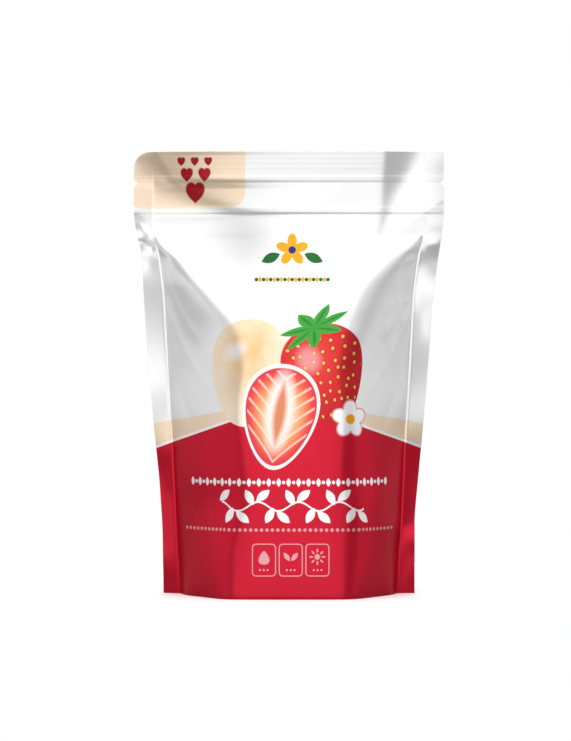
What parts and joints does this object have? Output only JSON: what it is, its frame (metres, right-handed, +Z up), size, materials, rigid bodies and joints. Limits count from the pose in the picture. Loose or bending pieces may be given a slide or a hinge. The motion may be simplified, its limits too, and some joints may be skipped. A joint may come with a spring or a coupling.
{
  "type": "stand-up pouch",
  "caption": "Sealed stand-up food pouch: flat head with top seal, tear line and zip, sealed sides, and a filled belly standing on an opened bottom gusset.",
  "frame": {"origin": "on the ground under the middle of the pack", "axes": "+Z up to the sealed top, +X to the right as seen from the front, +Y from the front panel to the back panel"},
  "size_m": [0.14, 0.0548, 0.2],
  "materials": {
    "film": "printed metallised laminate film, satin gloss"
  },
  "bodies": {
    "root": {"pouch": "film"}
  },
  "joints": []
}
